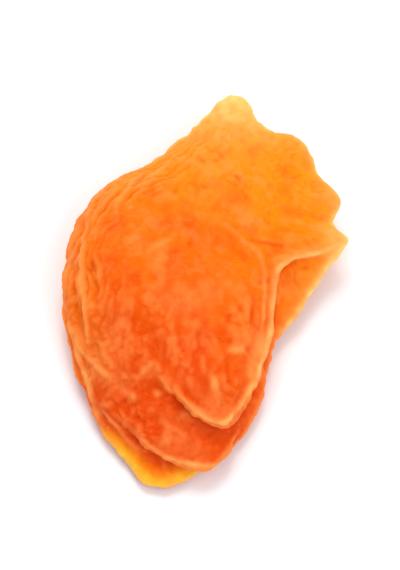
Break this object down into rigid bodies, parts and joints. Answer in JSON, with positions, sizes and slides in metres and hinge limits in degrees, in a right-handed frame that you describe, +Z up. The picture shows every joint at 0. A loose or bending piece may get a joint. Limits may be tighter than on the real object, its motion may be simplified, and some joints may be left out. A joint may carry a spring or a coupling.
{
  "type": "dried apricot",
  "caption": "Dried apricot half, folded over on itself into a flat leaf shape with a domed skin side, layered lips and a thin wavy edge.",
  "frame": {"origin": "on the surface that the fruit lies on, under the middle of its outline", "axes": "+Z up out of the skin side, +Y along the fruit from its near end to its pointed tip, +X to the right seen from above"},
  "size_m": [0.0304, 0.0466, 0.0099],
  "materials": {
    "apricot": "matt, slightly tacky, translucent at thin edges"
  },
  "bodies": {
    "root": {"dried_apricot": "apricot"}
  },
  "joints": []
}
